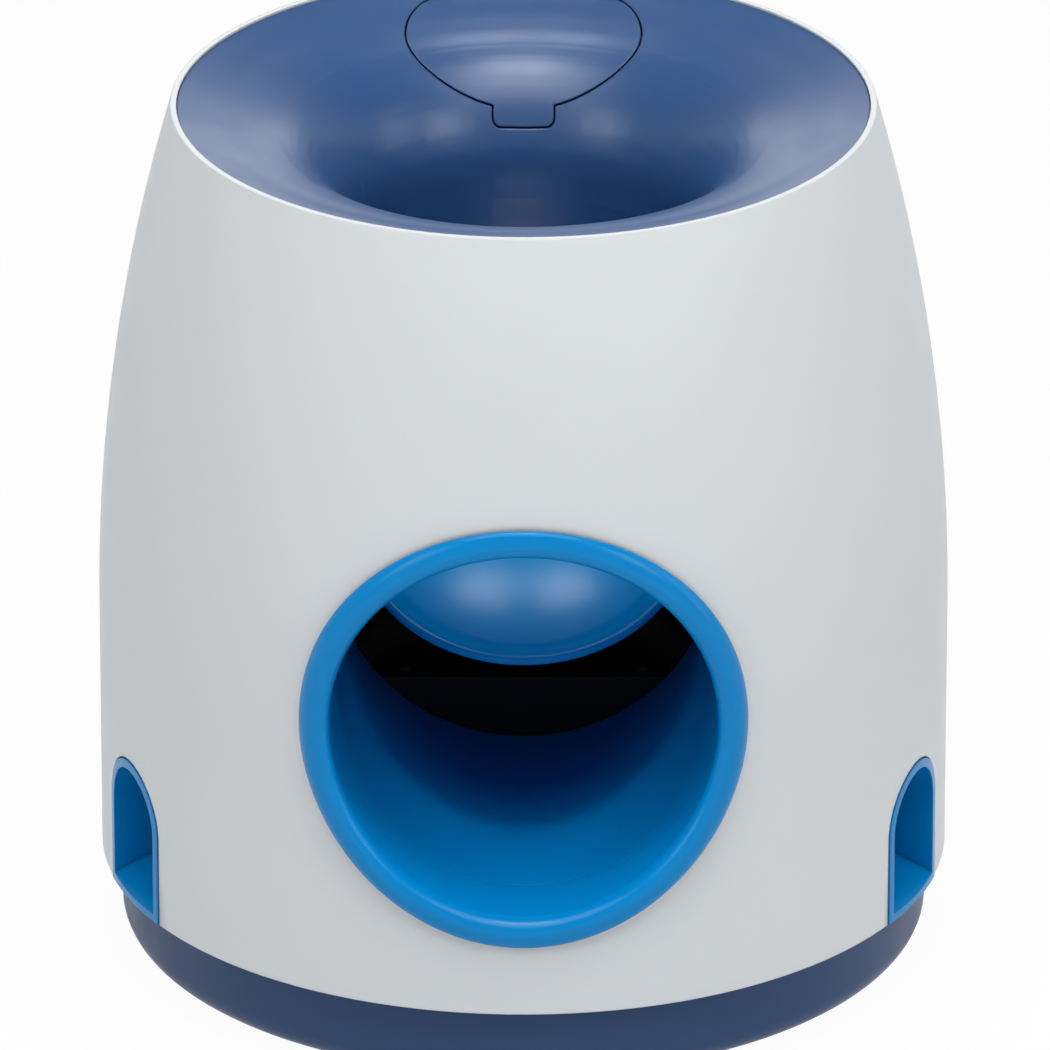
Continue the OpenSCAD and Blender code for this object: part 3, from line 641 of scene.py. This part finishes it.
def screw_places(node, axis):
    """Middle, lowest and highest place of each screw of a node, along one axis."""
    across = [k for k in range(3) if k != axis]
    groups = []
    for v in NODES[node].data.vertices:
        p = v.co / MM
        for group in groups:
            if all(abs(p[k] - group[0][k]) < SCREW_REACH for k in across):
                group.append(p)
                break
        else:
            groups.append([p])
    for group in groups:
        low = Vector([min(p[k] for p in group) for k in range(3)])
        high = Vector([max(p[k] for p in group) for k in range(3)])
        yield (low + high) / 2, low[axis], high[axis]


def make_screws():
    for node in UPRIGHT_SCREWS:
        bm = bmesh.new()
        for middle, low, high in screw_places(node, Z_AXIS):
            head = Matrix.Translation((middle.x, middle.y, low + HEAD_H))
            screw(bm, head, high - low - HEAD_H)
        add_piece("threaded_" + node, bm, "steel", "housing", [node])
    bm = bmesh.new()
    for middle, low, high in screw_places("chute_screws", Y_AXIS):
        head = Matrix.Translation((middle.x, high - HEAD_H, middle.z)) @ TO_FRONT
        screw(bm, head, high - low - HEAD_H)
    add_piece("threaded_chute_screws", bm, "steel", "housing", ["chute_screws"])


# Foot ring with tread grooves
GROOVES = 4
GROOVE_DEPTH = 0.5
GROOVE_W = 0.5
FOOT_ROUND = 0.4


def make_foot():
    radii = [v.co.xy.length / MM for v in NODES["foot_ring"].data.vertices]
    inner, outer = min(radii), max(radii)
    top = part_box("foot_ring")[1].z / MM
    outline = [(inner, top), (inner, FOOT_ROUND), (inner + FOOT_ROUND, 0)]
    for k in range(1, GROOVES + 1):
        r = inner + (outer - inner) * k / (GROOVES + 1)
        outline += [(r - GROOVE_W, 0), (r - GROOVE_W / 2, GROOVE_DEPTH)]
        outline += [(r + GROOVE_W / 2, GROOVE_DEPTH), (r + GROOVE_W, 0)]
    outline += [(outer - FOOT_ROUND, 0), (outer, FOOT_ROUND), (outer, top)]
    bm = bmesh.new()
    revolve(bm, outline, ROUND_STEPS, AS_IT_IS)
    add_piece("grooved_foot", bm, "rubber", "housing", ["foot_ring"])


# Camera at the photo's angle, in metres
ELEVATION = math.radians(24.07)
DISTANCE = 2.909
TARGET = Vector((0, 0, 0.08546))
SENSOR = 36
LENS = 498.6
SHIFT_X = 0.0014
FAR_CLIP = 20


def make_camera():
    data = bpy.data.cameras.new("camera")
    data.sensor_width = SENSOR
    data.lens = LENS
    data.shift_x = SHIFT_X
    data.clip_end = FAR_CLIP
    camera = bpy.data.objects.new("camera", data)
    back = Vector((0, -math.cos(ELEVATION), math.sin(ELEVATION)))
    camera.location = TARGET + back * DISTANCE
    camera.rotation_euler = (-back).to_track_quat("-Z", "Y").to_euler()
    bpy.context.scene.collection.objects.link(camera)
    bpy.context.scene.camera = camera


# Studio: places and sizes in metres, lamps in watts
MIDDLE = Vector((0, 0, 0.09))
ROOM_LIGHT = 0.17
BACKDROP = 0.85
OVERHEAD = 0.30
OVERHEAD_FADE = (0.30, 0.55)
PAPER = (0.8, 0.8, 0.8, 1)
PAPER_GLOW = 1.0
GLOW_SHARE = 0.95
FLOOR_HALF = 6
FLOOR_CELLS = 8


def softbox(name, place, width, height, power):
    """Rectangular lamp that looks at the middle of the toy."""
    data = bpy.data.lights.new(name, "AREA")
    data.shape = "RECTANGLE"
    data.size = width
    data.size_y = height
    data.energy = power
    lamp = bpy.data.objects.new(name, data)
    lamp.location = place
    lamp.rotation_euler = (MIDDLE - Vector(place)).to_track_quat("-Z", "Y").to_euler()
    lamp.visible_camera = False
    bpy.context.scene.collection.objects.link(lamp)


def make_lamps():
    """Broad light from above and in front, fill from the sides and the rear, two small windows."""
    softbox("main", (0, -0.64, 1.55), 1.5, 1.0, 17)
    softbox("top", (0, -0.32, 1.65), 0.5, 0.4, 5)
    softbox("front_left", (-1.46, -1.22, 1.04), 0.8, 0.8, 6.4)
    softbox("front_right", (1.46, -1.22, 1.04), 0.8, 0.8, 6.2)
    softbox("side_right", (2.1, -0.2, 0.8), 0.8, 1.2, 4.2)
    softbox("rear", (0, 3.2, 1.0), 3.0, 0.9, 11)
    for side in (-1, 1):
        softbox("window", (side * 0.15, 0.5, 1.55), 0.2, 0.25, 2.0)


def seen_directly(tree):
    """Value that is 1 for rays from the camera, in reflections and through glass."""
    path = tree.nodes.new("ShaderNodeLightPath")
    total = path.outputs["Is Camera Ray"]
    for other in ("Is Glossy Ray", "Is Transmission Ray"):
        larger = tree.nodes.new("ShaderNodeMath")
        larger.operation = "MAXIMUM"
        tree.links.new(total, larger.inputs[0])
        tree.links.new(path.outputs[other], larger.inputs[1])
        total = larger.outputs[0]
    return total


def mix_surface(tree, output, share, first, second):
    """Surface that shows the second shader by a share and the first one otherwise."""
    mix = tree.nodes.new("ShaderNodeMixShader")
    tree.links.new(share, mix.inputs["Fac"])
    tree.links.new(first.outputs[0], mix.inputs[1])
    tree.links.new(second.outputs[0], mix.inputs[2])
    tree.links.new(mix.outputs[0], tree.nodes.new(output).inputs["Surface"])


def make_world():
    """Even grey light, with a white backdrop that darkens overhead where it is seen."""
    world = bpy.data.worlds.new("studio")
    bpy.context.scene.world = world
    world.use_nodes = True
    tree = world.node_tree
    tree.nodes.clear()
    light = tree.nodes.new("ShaderNodeBackground")
    light.inputs["Strength"].default_value = ROOM_LIGHT
    white = tree.nodes.new("ShaderNodeBackground")
    coords = tree.nodes.new("ShaderNodeTexCoord")
    split = tree.nodes.new("ShaderNodeSeparateXYZ")
    darken = tree.nodes.new("ShaderNodeMapRange")
    darken.inputs["From Min"].default_value = OVERHEAD_FADE[0]
    darken.inputs["From Max"].default_value = OVERHEAD_FADE[1]
    darken.inputs["To Min"].default_value = BACKDROP
    darken.inputs["To Max"].default_value = OVERHEAD
    tree.links.new(coords.outputs["Generated"], split.inputs[0])
    tree.links.new(split.outputs["Z"], darken.inputs["Value"])
    tree.links.new(darken.outputs["Result"], white.inputs["Strength"])
    mix_surface(tree, "ShaderNodeOutputWorld", seen_directly(tree), light, white)


def floor_paper():
    """White paper that glows for the most part where it is seen, and keeps a faint soft shadow."""
    mat = bpy.data.materials.new("floor_paper")
    mat.use_nodes = True
    tree = mat.node_tree
    tree.nodes.clear()
    paper = tree.nodes.new("ShaderNodeBsdfDiffuse")
    paper.inputs["Color"].default_value = PAPER
    glow = tree.nodes.new("ShaderNodeEmission")
    glow.inputs["Strength"].default_value = PAPER_GLOW
    share = tree.nodes.new("ShaderNodeMath")
    share.operation = "MULTIPLY"
    share.inputs[1].default_value = GLOW_SHARE
    tree.links.new(seen_directly(tree), share.inputs[0])
    mix_surface(tree, "ShaderNodeOutputMaterial", share.outputs[0], paper, glow)
    return mat


def make_floor():
    mesh = bpy.data.meshes.new("floor")
    bm = bmesh.new()
    bmesh.ops.create_grid(bm, x_segments=FLOOR_CELLS, y_segments=FLOOR_CELLS, size=FLOOR_HALF)
    bm.to_mesh(mesh)
    bm.free()
    mesh.materials.append(floor_paper())
    floor = bpy.data.objects.new("floor", mesh)
    bpy.context.scene.collection.objects.link(floor)


paint_nodes()
make_funnel()
make_bezel()
make_flap()
make_screws()
make_foot()
make_camera()
make_lamps()
make_world()
make_floor()
bpy.context.scene.view_settings.view_transform = "Standard"
